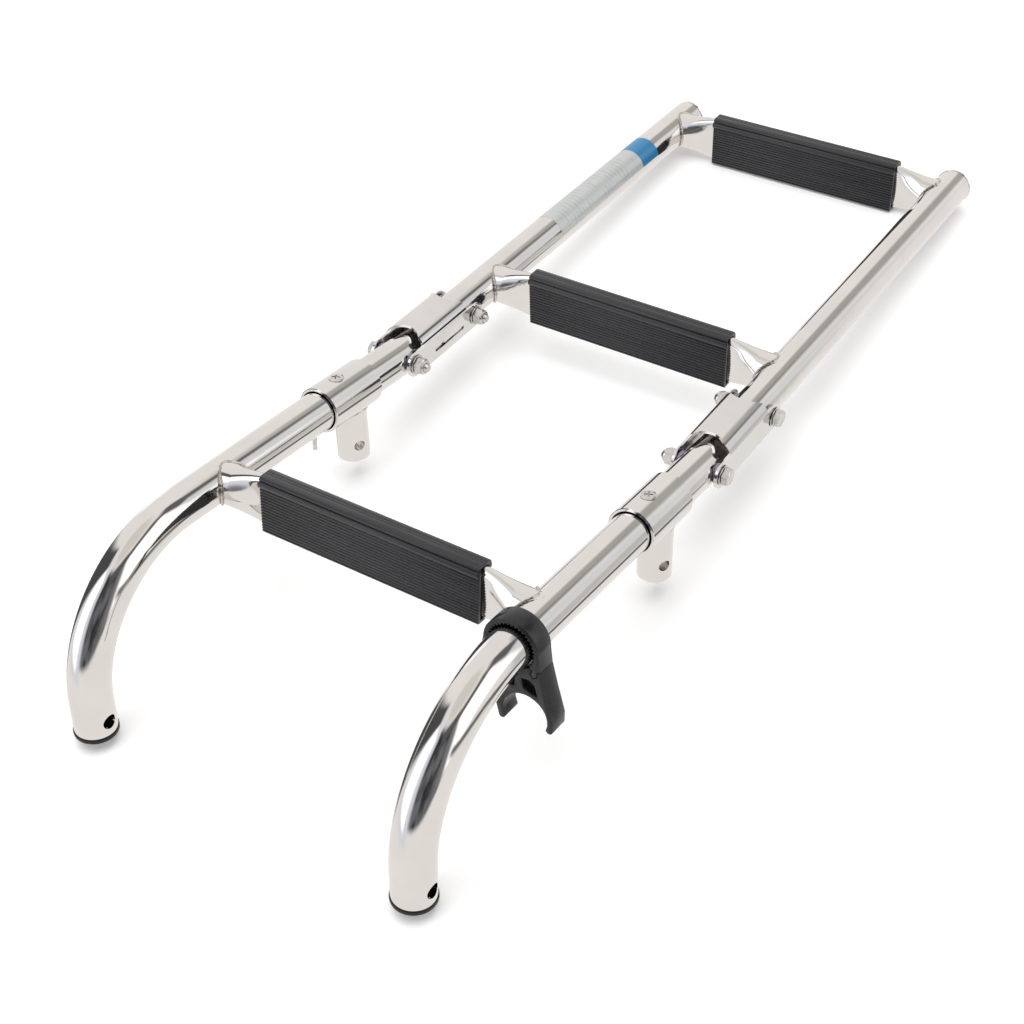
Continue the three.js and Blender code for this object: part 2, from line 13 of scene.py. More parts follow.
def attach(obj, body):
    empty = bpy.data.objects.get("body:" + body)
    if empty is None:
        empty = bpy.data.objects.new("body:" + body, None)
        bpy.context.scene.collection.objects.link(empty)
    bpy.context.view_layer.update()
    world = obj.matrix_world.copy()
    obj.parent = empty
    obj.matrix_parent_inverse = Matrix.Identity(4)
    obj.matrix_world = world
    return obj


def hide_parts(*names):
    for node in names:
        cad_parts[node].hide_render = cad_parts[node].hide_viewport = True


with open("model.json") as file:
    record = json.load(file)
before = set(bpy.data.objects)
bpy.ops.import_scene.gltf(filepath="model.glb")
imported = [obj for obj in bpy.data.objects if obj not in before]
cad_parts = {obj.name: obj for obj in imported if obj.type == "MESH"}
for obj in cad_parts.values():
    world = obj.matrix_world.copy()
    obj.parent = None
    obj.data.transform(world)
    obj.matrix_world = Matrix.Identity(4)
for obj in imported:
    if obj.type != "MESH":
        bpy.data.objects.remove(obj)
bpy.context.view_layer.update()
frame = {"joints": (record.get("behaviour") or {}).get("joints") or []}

# ---------------------------------------------------------------- sizes, mm
TUBE_R, TUBE_WALL, RAIL_X = 12.5, 1.5, 111
BEND_START, BEND_RADIUS, BEND_ANGLE = -28, 82, math.radians(92)
FOOT_LENGTH, FOOT_HOLE_R, FOOT_HOLE_UP = 20, 4.5, 9
PIVOT_Y, OVERHANG = 181, 31
LINK_PITCH, LINK_HALF, LINK_WALL, CREASE_Z = 67.6, 15.4, 1.8, 8.9
ARCH_BASE, ARCH_RISE, ARCH_POWER, ARCH_INSET, EAR_R, MOUTH_R = 4.3, 11.9, 2.7, 9.3, 8.5, 14.2
SLOT_FROM, SLOT_TO, SLOT_Z, SLOT_HALF = 21, 54, -1.5, 1.5
BOLT_R, BORE_R, HEX_FLAT, WASHER_R, WASHER_THICK = 3, 3.3, 5, 6.4, 0.7
SEAT, HEAD_THICK, NUT_THICK, BOLT_TIP = 16.7, 4, 5, 25
BUSH_R, BUSH_FLANGE_R, BUSH_FACE, BUSH_DEPTH = 4.5, 6.2, 13.3, 3.5
TREAD_2, TREAD_3, LOWER_END = 34.4, 297.8, 325
RUNG_BEHIND, FLAT_HALF, ROUND_FROM, FLAT_TO, TREAD_HALF = 6.5, 4.6, 101, 74, 74.5
SQUEEZE = 0.78  # a pressed rung is this much thinner than the room the CAD leaves for it
RIB_PITCH, RIB_DEPTH, RIB_COUNT, RIBS_FROM = 2, 0.95, 14, -17
SLEEVE_FROM, SLEEVE_TO, SLEEVE_R, SLEEVE_BORE = 99, 144.5, 15, 13.3
STUB_Y, STUB_LEAN, STUB_R, STUB_BORE, STUB_LENGTH = 128.8, math.radians(5), 10.5, 8.9, 48.5
STUB_HOLE_R, STUB_HOLE_UP, STUB_HOLE_TURN = 3.6, 12, math.radians(27)
SCREW_Y, SCREW_HEAD_R, SCREW_SHANK_R = 117, 4.7, 2.5
PIN_Y, PIN_R, PIN_FROM, PIN_TO = 94, 1.5, -25.5, -8.5
CLIP_FRONT, CLIP_WIDTH = -24.5, 12.5
RING_TIP, RING_ROOT, RING_OUTER, RING_TEETH = 13.2, 14.3, 17, 26
JAW_X, JAW_Z, JAW_R, CLAW_R = 10.3, -41, 13.6, 2.1
LABEL_FROM, LABEL_TO, LABEL_LIFT, LABEL_UNDER = 116, 255, 0.09, 0.05
RULES_FROM, RULES_TO, RULE_PITCH, BAND_FROM, BAND_FULL = 122, 226, 4.2, 231.8, 232.4
GAP = 0.3
THROUGH = 30  # half-length of a tool that cuts right through a tube
SIDES = {"left": -1, "right": 1}

# ---------------------------------------------------------------- frames
joints = {joint["name"]: joint for joint in frame["joints"]}
first_pivot = Vector(joints["left_link_fold"]["pos_m"])
second_pivot = Vector(joints["lower_fold"]["pos_m"])
clip_axis = Vector(joints["clip_swing"]["axis"])
pitch = math.atan2(clip_axis.z, -clip_axis.y)
sag = math.radians(-joints["left_link_fold"]["range_deg"][0])
MM = Matrix.Scale(0.001, 4)


def laid(at, angle, x=0.0):
    """Frame at a pivot, turned about the x axis, from millimetres to metres."""
    return Matrix.Translation((x, at.y, at.z)) @ Matrix.Rotation(angle, 4, "X") @ MM


UPPER = laid(first_pivot, -pitch) @ Matrix.Translation((0, -PIVOT_Y, 0))
LOWER = laid(second_pivot, sag - pitch)
LINK = {word: laid(first_pivot, sag - pitch, side * RAIL_X / 1000) for word, side in SIDES.items()}


def at(x=0.0, y=0.0, z=0.0):
    return Matrix.Translation((x, y, z))


# ---------------------------------------------------------------- mesh helpers
TURN = {
    "x": Matrix(((0, 0, 1), (1, 0, 0), (0, 1, 0))),
    "y": Matrix(((0, 1, 0), (0, 0, 1), (1, 0, 0))),
    "z": Matrix.Identity(3),
}


def solid(rings, loop=False):
    """Closed object through rings of equal length; a loop joins the last ring to the first."""
    count = len(rings[0])
    bm = bmesh.new()
    rows = [[bm.verts.new(point) for point in ring] for ring in rings]
    for a, b in zip(rows, rows[1:] + rows[:1] if loop else rows[1:]):
        for k in range(count):
            bm.faces.new((a[k], a[(k + 1) % count], b[(k + 1) % count], b[k]))
    if not loop:
        bm.faces.new(rows[0])
        bm.faces.new(rows[-1])
    bmesh.ops.remove_doubles(bm, verts=bm.verts, dist=1e-4)
    bmesh.ops.recalc_face_normals(bm, faces=bm.faces)
    mesh = bpy.data.meshes.new("shape")
    bm.to_mesh(mesh)
    bm.free()
    obj = bpy.data.objects.new("shape", mesh)
    bpy.context.scene.collection.objects.link(obj)
    return obj


def turned(axis, profile, sides=48):
    """Solid of revolution; a profile that starts on the axis is closed there, any other is a ring."""
    turn = TURN[axis]
    angles = [2 * math.pi * k / sides for k in range(sides)]
    rings = [[turn @ Vector((r * math.cos(t), r * math.sin(t), h)) for t in angles] for r, h in profile]
    return solid(rings, loop=profile[0][0] > 0)


def rod(axis, radius, start, end, sides=48, end_radius=None):
    last = radius if end_radius is None else end_radius
    return turned(axis, [(0, start), (radius, start), (last, end), (0, end)], sides)


def prism(outline, start, end, axis):
    """Prism along x of (y, z) points, or along y of (x, z) points."""
    def put(point, s):
        return Vector((s, point[0], point[1])) if axis == "x" else Vector((point[0], s, point[1]))
    return solid([[put(point, s) for point in outline] for s in (start, end)])


def moved(obj, matrix):
    obj.data.transform(matrix)
    return obj


def bake(obj):
    """Applies an object's modifiers to its mesh."""
    depsgraph = bpy.context.evaluated_depsgraph_get()
    result = bpy.data.meshes.new_from_object(obj.evaluated_get(depsgraph))
    obj.modifiers.clear()
    old, obj.data = obj.data, result
    bpy.data.meshes.remove(old)
    return obj


def combine(operation, obj, tools):
    for tool in tools:
        step = obj.modifiers.new("step", "BOOLEAN")
        step.operation, step.solver, step.object = operation, "EXACT", tool
    bake(obj)
    for tool in tools:
        bpy.data.objects.remove(tool)
    return obj


def carve(obj, *tools):
    return combine("DIFFERENCE", obj, tools)


def join(obj, *tools):
    return combine("UNION", obj, tools)


def soften_ends(obj, stations, axis, width):
    """Rounds the edges that lie in the given end planes of a prism."""
    index = "xyz".index(axis)
    bm = bmesh.new()
    bm.from_mesh(obj.data)
    bmesh.ops.dissolve_degenerate(bm, dist=1e-3, edges=bm.edges)
    rim = [edge for edge in bm.edges
           if any(all(abs(v.co[index] - s) < 1e-3 for v in edge.verts) for s in stations)
           and len(edge.link_faces) == 2
           and edge.link_faces[0].normal.dot(edge.link_faces[1].normal) < 0.7]
    bmesh.ops.bevel(bm, geom=rim, offset=width, segments=2, affect="EDGES", profile=0.5,
                    clamp_overlap=True)
    bm.to_mesh(obj.data)
    bm.free()
    return obj


def snap_normals(obj, radial):
    """Gives each corner the true normal of the round surface that it lies on."""
    mesh = obj.data
    corners = [Vector(normal.vector) for normal in mesh.corner_normals]
    for face in mesh.polygons:
        for loop in face.loop_indices:
            for true in radial(mesh.vertices[mesh.loops[loop].vertex_index].co):
                facing = true.dot(face.normal)
                if abs(facing) > 0.96:
                    corners[loop] = true if facing > 0 else -true
                    break
    mesh.normals_split_custom_set(corners)


def shade(mesh, sharp):
    """Smooth shading, broken at edges sharper than an angle in degrees."""
    mesh.polygons.foreach_set("use_smooth", [True] * len(mesh.polygons))
    mesh.set_sharp_from_angle(angle=math.radians(sharp))


def finish_piece(obj, node, body, material, matrix, radial=None, sharp=32):
    """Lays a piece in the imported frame, names it after the CAD node that it stands for, and dresses it."""
    mesh = obj.data
    shade(mesh, sharp)
    if radial:
        snap_normals(obj, radial)
    mesh.transform(matrix)
    obj.name = mesh.name = f"{node}_fine"
    mesh.materials.clear()
    mesh.materials.append(material)
    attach(obj, body)
    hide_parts(node)
    return obj


def around(axis_point, axis, point):
    """Unit vector from a line to a point."""
    away = point - axis_point
    away -= axis * away.dot(axis)
    return away.normalized() if away.length > 1e-6 else Vector((0, 0, 1))


# ---------------------------------------------------------------- material helpers
class Value:
    """A number or socket in a node tree, with arithmetic."""

    def __init__(self, tree, socket):
        self.tree, self.socket = tree, socket

    def math(self, operation, *others):
        node = self.tree.nodes.new("ShaderNodeMath")
        node.operation = operation
        for slot, value in zip(node.inputs, (self, *others)):
            feed(self.tree, slot, value)
        return Value(self.tree, node.outputs[0])

    def __add__(self, other):
        return self.math("ADD", other)

    def __sub__(self, other):
        return self.math("SUBTRACT", other)

    def __mul__(self, other):
        return self.math("MULTIPLY", other)

    def step(self, low, high):
        """Smooth ramp from 0 at low to 1 at high."""
        node = self.tree.nodes.new("ShaderNodeMapRange")
        node.interpolation_type = "SMOOTHSTEP"
        for name, value in (("Value", self), ("From Min", low), ("From Max", high)):
            feed(self.tree, node.inputs[name], value)
        return Value(self.tree, node.outputs[0])

    def within(self, low, high, soft):
        """1 between low and high, fading over `soft` to each side of both."""
        return (self.step(low - soft, low + soft) - self.step(high - soft, high + soft)).either(0.0)

    def either(self, other):
        """The larger of the two."""
        return self.math("MAXIMUM", other)


def feed(tree, slot, value):
    """Links a Value to an input, or sets the input to a number, vector or colour."""
    if isinstance(value, Value):
        tree.links.new(value.socket, slot)
    elif isinstance(value, (int, float)):
        slot.default_value = value
    else:
        slot.default_value = (*value, 1.0) if len(value) == 3 and len(slot.default_value) == 4 else value


def blend(tree, factor, first, second):
    """Colour between two others."""
    node = tree.nodes.new("ShaderNodeMix")
    node.data_type = "RGBA"
    for slot, value in ((node.inputs[0], factor), (node.inputs[6], first), (node.inputs[7], second)):
        feed(tree, slot, value)
    return Value(tree, node.outputs[2])


class Look:
    """A principled material whose detail is placed in metres of the ladder at rest."""

    def __init__(self, name, **inputs):
        self.material = bpy.data.materials.new(name)
        self.material.use_nodes = True
        self.tree = self.material.node_tree
        self.surface = self.tree.nodes["Principled BSDF"]
        self.place = Value(self.tree, self.tree.nodes.new("ShaderNodeTexCoord").outputs["Object"])
        self.set(**inputs)

    def set(self, **inputs):
        for name, value in inputs.items():
            feed(self.tree, self.surface.inputs[name.replace("_", " ")], value)
        return self

    def stretched(self, scale, turn):
        node = self.tree.nodes.new("ShaderNodeMapping")
        feed(self.tree, node.inputs["Vector"], self.place)
        node.inputs["Scale"].default_value = scale
        node.inputs["Rotation"].default_value = turn
        return Value(self.tree, node.outputs[0])

    def noise(self, scale, detail=3.0, place=None):
        node = self.tree.nodes.new("ShaderNodeTexNoise")
        feed(self.tree, node.inputs["Vector"], place or self.place)
        node.inputs["Scale"].default_value = scale
        node.inputs["Detail"].default_value = detail
        return Value(self.tree, node.outputs["Fac"])

    def spread(self, value, low, high):
        """Maps the middle of a noise onto a range."""
        node = self.tree.nodes.new("ShaderNodeMapRange")
        feed(self.tree, node.inputs["Value"], value)
        for name, number in (("From Min", 0.3), ("From Max", 0.7), ("To Min", low), ("To Max", high)):
            node.inputs[name].default_value = number
        return Value(self.tree, node.outputs[0])

    def relief(self, height, distance):
        """Bump of a depth in metres, on top of any earlier one."""
        node = self.tree.nodes.new("ShaderNodeBump")
        node.inputs["Distance"].default_value = distance
        feed(self.tree, node.inputs["Height"], height)
        normal = self.surface.inputs["Normal"]
        if normal.links:
            self.tree.links.new(normal.links[0].from_socket, node.inputs["Normal"])
        self.tree.links.new(node.outputs[0], normal)
        return self


def polished_steel(name, along, base=(0.80, 0.775, 0.75), rough=(0.035, 0.085)):
    """Polished stainless tube, with faint waviness and polishing lines along `along`."""
    look = Look(name, Metallic=1.0)
    lines = look.stretched(tuple(18.0 if axis == along else 900.0 for axis in "xyz"), (-pitch, 0, 0))
    smear = look.noise(38.0, 4.0)
    fine = look.noise(1.0, 2.0, lines)
    tone = blend(look.tree, look.spread(smear, 0.0, 1.0), base, tuple(c * 0.94 for c in base))
    look.set(Base_Color=tone, Roughness=look.spread(smear, *rough) + look.spread(fine, 0.0, 0.02))
    look.relief(look.noise(55.0, 1.5), 0.00006)
    look.relief(fine, 0.000004)
    return look.material


def moulded(name, base, rough, grain, streak=None):
    """Moulded plastic with a fine grain; `streak` draws it out along one axis."""
    look = Look(name, Specular_IOR_Level=0.4)
    if streak:
        place = look.stretched(tuple(14.0 if axis == streak else 420.0 for axis in "xyz"), (-pitch, 0, 0))
        marks = look.noise(1.0, 3.0, place)
    else:
        marks = look.noise(900.0, 2.0)
    cloud = look.noise(60.0, 3.0)
    darker, lighter = tuple(c * 0.72 for c in base), tuple(c * 1.3 for c in base)
    tone = blend(look.tree, look.spread(marks, 0.0, 1.0), darker, lighter)
    look.set(Base_Color=tone, Roughness=look.spread(cloud, rough - 0.06, rough + 0.06))
    look.relief(marks, grain)
    return look.material


STEEL_Y = polished_steel("polished_tube_along", "y")
STEEL_X = polished_steel("polished_tube_across", "x")
STEEL_Z = polished_steel("polished_socket", "z", rough=(0.05, 0.11))
STEEL_LINK = polished_steel("polished_link", "y", base=(0.77, 0.75, 0.73), rough=(0.05, 0.12))


def weld_steel():
    look = Look("weld_bead", Metallic=1.0)
    tint = look.spread(look.noise(160.0, 3.0), 0.0, 1.0)
    tone = blend(look.tree, tint, (0.72, 0.69, 0.64), (0.50, 0.46, 0.42))
    look.set(Base_Color=tone, Roughness=look.spread(look.noise(420.0), 0.16, 0.34))
    return look.relief(look.noise(900.0, 2.0), 0.00012).material


def fastener_steel(name, base, rough):
    look = Look(name, Metallic=1.0)
    wear = look.spread(look.noise(300.0, 4.0), 0.0, 1.0)
    look.set(Base_Color=blend(look.tree, wear, base, tuple(c * 0.8 for c in base)),
             Roughness=look.spread(look.noise(700.0, 2.0), rough, rough + 0.14))
    return look.relief(look.noise(1600.0, 2.0), 0.00003).material


WELD = weld_steel()
FASTENER = fastener_steel("fastener_bright", (0.74, 0.72, 0.70), 0.14)
TREAD = moulded("tread_black", (0.027, 0.027, 0.030), 0.27, 0.00005, "x")
CLIP = moulded("clip_black", (0.013, 0.013, 0.014), 0.27, 0.00004)
CAP = moulded("cap_black", (0.010, 0.010, 0.011), 0.5, 0.00008)
BUSH = moulded("bush_nylon", (0.22, 0.20, 0.27), 0.42, 0.00003)


def label_film():
    """Pale film label with a blue band at its far end and faint rules across it."""
    look = Look("label_film", Specular_IOR_Level=0.6, Roughness=0.28, Metallic=0.25)
    edge = 0.0004
    local = look.tree.nodes.new("ShaderNodeMapping")
    local.vector_type = "POINT"
    feed(look.tree, local.inputs["Vector"], look.place)
    local.inputs["Rotation"].default_value = (pitch - sag, 0, 0)
    apart = look.tree.nodes.new("ShaderNodeSeparateXYZ")
    look.tree.links.new(local.outputs[0], apart.inputs[0])
    turned_pivot = Matrix.Rotation(pitch - sag, 3, "X") @ second_pivot
    along = Value(look.tree, apart.outputs[1]) - turned_pivot.y
    band = along.step(BAND_FROM / 1000, BAND_FULL / 1000)
    rules = (along * (2000 * math.pi / RULE_PITCH)).math("SINE").step(0.35, 0.95)
    inset = along.within(RULES_FROM / 1000, RULES_TO / 1000, edge)
    broken = look.noise(90.0, 4.0).step(0.42, 0.58)
    paper = blend(look.tree, rules * inset * broken * 0.4, (0.50, 0.52, 0.51), (0.24, 0.28, 0.31))
    look.set(Base_Color=blend(look.tree, band, paper, (0.035, 0.21, 0.42)))
    return look.relief(look.noise(140.0, 3.0), 0.00005).material


LABEL = label_film()


def pressed_inside_painted_light():
    """Inner face of the pressed links, duller than the outside, with its colour painted lighter than the
    outer steel to lift the shade inside the arch.
    """
    look = Look("link_inside_painted_light", Metallic=0.9)
    cloud = look.spread(look.noise(220.0, 4.0), 0.0, 1.0)
    # painted light: the inner face is coloured lighter than the outer steel, so the shaded cavity and the
    # rail that mirrors it read lighter
    look.set(Base_Color=blend(look.tree, cloud, (0.88, 0.86, 0.84), (0.78, 0.77, 0.75)),
             Roughness=look.spread(look.noise(500.0, 2.0), 0.20, 0.27))
    return look.relief(look.noise(1200.0, 2.0), 0.00004).material


PAINTED_LIGHT_INSIDE = pressed_inside_painted_light()

# ---------------------------------------------------------------- rails
TUBE_SIDES, BEND_STEPS, END_SIDES, SPIGOT_WALL = 72, 48, 64, 2


def tube(stations):
    """Hollow tube through (centre, tangent) stations in the plane x = 0, with eased end edges."""
    def ring(station, radius, shift=0.0):
        centre, tangent = station
        up = Vector((1, 0, 0)).cross(tangent)
        middle = centre + tangent * shift
        turns = [2 * math.pi * k / TUBE_SIDES for k in range(TUBE_SIDES)]
        return [middle + radius * (math.cos(t) * Vector((1, 0, 0)) + math.sin(t) * up) for t in turns]
    bore, ease = TUBE_R - TUBE_WALL, 0.25
    outer = [ring(stations[0], TUBE_R - ease), ring(stations[0], TUBE_R, ease)]
    outer += [ring(s, TUBE_R) for s in stations[1:-1]]
    outer += [ring(stations[-1], TUBE_R, -ease), ring(stations[-1], TUBE_R - ease)]
    inner = [ring(s, bore) for s in reversed(stations)]
    return solid(outer + inner, loop=True)


def upper_stations():
    stations = [(Vector((0, y, 0)), Vector((0, -1, 0))) for y in (PIVOT_Y + OVERHANG, 150, 60)]
    for k in range(BEND_STEPS + 1):
        turn = BEND_ANGLE * k / BEND_STEPS
        centre = Vector((0, BEND_START - BEND_RADIUS * math.sin(turn), BEND_RADIUS * (math.cos(turn) - 1)))
        stations.append((centre, Vector((0, -math.cos(turn), -math.sin(turn)))))
    centre, tangent = stations[-1]
    return [*stations, (centre + tangent * FOOT_LENGTH, tangent)]


STATIONS = upper_stations()
FOOT_END, FOOT_WAY = STATIONS[-1]
AT_FOOT = at(0, FOOT_END.y, FOOT_END.z) @ Matrix.Rotation(BEND_ANGLE - math.pi / 2, 4, "X")
BEND_CENTRE = Vector((0, BEND_START, -BEND_RADIUS))
ALONG = Vector((0, 1, 0))


def upper_rail_radial(point):
    if point.y > BEND_START:
        return straight_radial(point)
    flat = Vector((0, point.y, point.z)) - BEND_CENTRE
    turn = math.atan2(-flat.y, flat.z)
    if turn > BEND_ANGLE:
        return [around(FOOT_END, FOOT_WAY, point)]
    return [(point - BEND_CENTRE - flat.normalized() * BEND_RADIUS).normalized()]


def straight_radial(point):
    return [around(Vector(), ALONG, point)]


def add_rails():
    for word, side in SIDES.items():
        x = side * RAIL_X
        tools = [
            moved(rod("x", BUSH_R + GAP, -THROUGH, THROUGH), at(0, PIVOT_Y)),
            moved(rod("z", SCREW_SHANK_R + GAP, 0, THROUGH), at(0, SCREW_Y)),
            moved(rod("x", FOOT_HOLE_R, -THROUGH, THROUGH), AT_FOOT @ at(0, 0, FOOT_HOLE_UP)),
        ]
        if side < 0:
            tools.append(moved(rod("z", PIN_R + GAP, -THROUGH, 0), at(0, PIN_Y)))
        finish_piece(carve(tube(STATIONS), *tools), f"{word}_upper_rail", "upper_section",
                     STEEL_Y, UPPER @ at(x), upper_rail_radial)
        lower = tube([(Vector((0, y, 0)), ALONG) for y in (-OVERHANG, 60, 200, LOWER_END)])
        carve(lower, rod("x", BUSH_R + GAP, -THROUGH, THROUGH))
        finish_piece(lower, f"{word}_lower_rail", "lower_section", STEEL_Y, LOWER @ at(x),
                     straight_radial)
        spigot = TUBE_R - TUBE_WALL - GAP
        inner = spigot - SPIGOT_WALL
        cap = turned("z", [
            (0, -3.3), (12, -3.3), (12.5, -3.15), (12.85, -2.8), (13, -2.3), (13, -0.6), (12.9, -0.35),
            (12.6, -GAP), (spigot, -GAP), (spigot, 3.2), (inner, 3.2), (inner, -1.3), (0, -1.3)], END_SIDES)
        finish_piece(cap, f"{word}_foot_cap", "upper_section", CAP, UPPER @ at(x) @ AT_FOOT)
        disc = turned("y", [
            (0, -0.5), (inner, -0.5), (inner, -6), (spigot, -6), (spigot, GAP), (12.2, GAP), (12.8, 0.55),
            (13, 0.95), (12.85, 1.4), (12.2, 1.7), (11.2, 1.85), (8, 1.98), (0, 2)], END_SIDES)
        finish_piece(disc, f"{word}_end_cap", "lower_section", STEEL_LINK,
                     LOWER @ at(x, LOWER_END))


# ---------------------------------------------------------------- rungs, welds and treads
def flattened(turn, half, straight):
    """Point of a flattened tube's section that lies the same way round as `turn` on the round one."""
    total = 4 * (math.pi / 2 * half + straight)
    along = (turn / (2 * math.pi)) % 1 * total
    fold = min(along, total - along)
    top = min(fold, total / 2 - fold)
    angle = max(0, top - straight) / half
    y, z = half * math.cos(angle), min(top, straight) + half * math.sin(angle)
    return (-y if fold > total / 4 else y), (-z if along > total / 2 else z)


def ramp(value, low, high, ease=0.35):
    """Ramp from 0 to 1 that is part straight and, by the share `ease`, part smooth."""
    t = min(1, max(0, (value - low) / (high - low)))
    return (1 - ease) * t + ease * t * t * (3 - 2 * t)


def rung():
    """Tube across the ladder, pressed flat and tall behind the tread, coped to the rails at its ends."""
    sides = 96
    straight = math.pi / 2 * (TUBE_R - FLAT_HALF)
    half_xs = [0, 30, 60, 70, *range(FLAT_TO - 2, 97)]
    xs = [-x for x in reversed(half_xs[1:])] + half_xs

    def ring(x, radius, end=0):
        press = 1 - ramp(abs(x), FLAT_TO, ROUND_FROM)
        points = []
        for k in range(sides):
            turn = 2 * math.pi * k / sides
            flat_y, flat_z = flattened(turn, FLAT_HALF - (TUBE_R - radius), straight)
            y = (1 - press) * radius * math.cos(turn) + press * SQUEEZE * flat_y
            z = (1 - press) * radius * math.sin(turn) + press * flat_z
            cope = RAIL_X - math.sqrt(max(0, (TUBE_R - 0.4) ** 2 - z * z))
            points.append(Vector((end * cope if end else x, y, z)))
        return points
    outer = [ring(-100, TUBE_R, -1), *(ring(x, TUBE_R) for x in xs), ring(100, TUBE_R, 1)]
    bore = TUBE_R - TUBE_WALL
    inner = [ring(100, bore, 1), *(ring(x, bore) for x in reversed(xs)), ring(-100, bore, -1)]
    return solid(outer + inner, loop=True)


def weld(side, seed):
    """Rippled bead along the seam between a rung and a rail."""
    rings, steps, reach, ripples = [], 180, TUBE_R + 0.45, 34
    for k in range(steps):
        turn = 2 * math.pi * k / steps
        wobble = noise.noise(Vector((seed * 3.1, 6 * math.cos(turn), 6 * math.sin(turn))))
        bead = 0.62 + 0.09 * math.cos(ripples * turn + 2 * wobble) + 0.12 * wobble
        inward = math.sqrt(reach ** 2 - (0.965 * reach * math.sin(turn)) ** 2)
        ring = []
        for j in range(12):
            phi = 2 * math.pi * j / 12
            radius = reach + bead * math.cos(phi)
            x = side * (RAIL_X - inward - 0.25) + 1.25 * bead * math.sin(phi)
            ring.append(Vector((x, radius * math.cos(turn), radius * math.sin(turn))))
        rings.append(ring)
    return solid(rings, loop=True)


def curve(start, control, end, steps=6):
    """Points of a quadratic curve after its start."""
    return [tuple((1 - t) ** 2 * a + 2 * t * (1 - t) * b + t * t * c for a, b, c in zip(start, control, end))
            for t in (k / steps for k in range(1, steps + 1))]


def tread_outline():
    """Section of a tread: ribbed front, grooved top, and two lips that hold it on the rung."""
    flat_height = FLAT_HALF + math.pi / 2 * (TUBE_R - FLAT_HALF)
    room = SQUEEZE * FLAT_HALF + GAP
    front, back, z = RUNG_BEHIND - room, RUNG_BEHIND + room, flat_height + GAP
    outer_back, outer_z, lip = RUNG_BEHIND + FLAT_HALF + GAP + 1.6, z + 1.9, z - 4
    points = [(back, -lip), (back + 0.35, -lip + 0.3), (outer_back - 0.35, -lip + 0.3), (outer_back, -lip)]
    points += curve(points[-1], (outer_back, -outer_z), (outer_back - 4, -outer_z))
    points += [(2.2, -outer_z), (1.1, -outer_z + 0.25), (0.3, -outer_z + 0.85), (0, -outer_z + 1.7)]
    for k in range(RIB_COUNT):
        low = RIBS_FROM + k * RIB_PITCH
        for share in (0.0, 0.06, 0.16, 0.3, 0.5, 0.7, 0.84, 0.94):
            depth = RIB_DEPTH * (1 - math.sqrt(1 - 0.99 * (2 * share - 1) ** 2))
            points.append((depth, low + share * RIB_PITCH))
    top_rib = RIBS_FROM + RIB_COUNT * RIB_PITCH
    # rounded ridge over the ribs, with a groove above it
    points += [(0.0, top_rib + 0.5), (-0.35, top_rib + 1.0), (-1.05, 12.8), (-1.42, 13.6), (-1.6, 14.5),
               (-1.55, 15.3), (-1.25, 15.95), (-0.75, 16.3), (0.0, 16.38), (0.5, 16.5), (0.42, 16.85),
               (-0.2, 17.2)]
    points += curve(points[-1], (0.9, outer_z), (4.2, outer_z), 7)
    grooves = [(s, dz) for c in (5.4, 7.2, 9.0) for s, dz in ((c - 0.4, 0), (c, -0.3), (c + 0.4, 0))]
    points += [(y, outer_z + dz) for y, dz in grooves if y < outer_back - 4.2]
    points.append((outer_back - 4, outer_z))
    points += curve(points[-1], (outer_back, outer_z), (outer_back, lip))
    points += [(outer_back - 0.35, lip - 0.3), (back + 0.35, lip - 0.3), (back, lip)]
    points += curve(points[-1], (back, z), (back - 3.4, z))
    points += [(front, z), (front, -z), (back - 3.4, -z)]
    points += curve(points[-1], (back, -z), (back, -lip))[:-1]
    return points


def add_step(name, y, body, matrix, seed):
    on_rung, ends = matrix @ at(0, y + RUNG_BEHIND), (-TREAD_HALF, TREAD_HALF)
    finish_piece(rung(), f"{name}_rung", body, STEEL_X, on_rung, sharp=60)
    tread = soften_ends(prism(tread_outline(), *ends, "x"), ends, "x", 0.25)
    finish_piece(tread, f"{name}_tread", body, TREAD, matrix @ at(0, y), sharp=35)
    for word, side in SIDES.items():
        finish_piece(weld(side, seed + side), f"{name}_{word}_weld", body, WELD, on_rung,
                     sharp=80)


# ---------------------------------------------------------------- leg sockets
LEANING = at(0, STUB_Y) @ Matrix.Rotation(STUB_LEAN, 4, "X")
STUB_AXIS = LEANING.to_3x3() @ Vector((0, 0, 1))


def socket_radial(point):
    return [around(Vector(), ALONG, point), around(Vector((0, STUB_Y, 0)), STUB_AXIS, point)]


def leg_socket():
    """Sleeve on the rail with a hollow stub under it and a cross hole through the stub."""
    ease = 0.35
    sleeve = turned("y", [
        (SLEEVE_BORE, SLEEVE_FROM), (SLEEVE_R - ease, SLEEVE_FROM), (SLEEVE_R, SLEEVE_FROM + ease),
        (SLEEVE_R, SLEEVE_TO - ease), (SLEEVE_R - ease, SLEEVE_TO), (SLEEVE_BORE, SLEEVE_TO)], 80)
    stub = moved(turned("z", [
        (0, -STUB_LENGTH), (STUB_R - ease, -STUB_LENGTH), (STUB_R, -STUB_LENGTH + ease), (STUB_R, -5),
        (0, -5)], 72), LEANING)
    join(sleeve, stub)
    return carve(
        sleeve,
        rod("y", SLEEVE_BORE, SLEEVE_FROM - 5, SLEEVE_TO + 5, 80),
        moved(rod("z", STUB_BORE, -STUB_LENGTH - 5, -SLEEVE_R - 1, 72), LEANING),
        moved(rod("x", STUB_HOLE_R, -20, 20, 40),
              LEANING @ at(0, 0, STUB_HOLE_UP - STUB_LENGTH) @ Matrix.Rotation(-STUB_HOLE_TURN, 4, "Z")),
        moved(rod("z", SCREW_SHANK_R + GAP, 0, 20), at(0, SCREW_Y)),
        moved(rod("z", SCREW_SHANK_R + GAP, 12.6, 15.8, 48, SCREW_HEAD_R + 1.5), at(0, SCREW_Y)),
    )


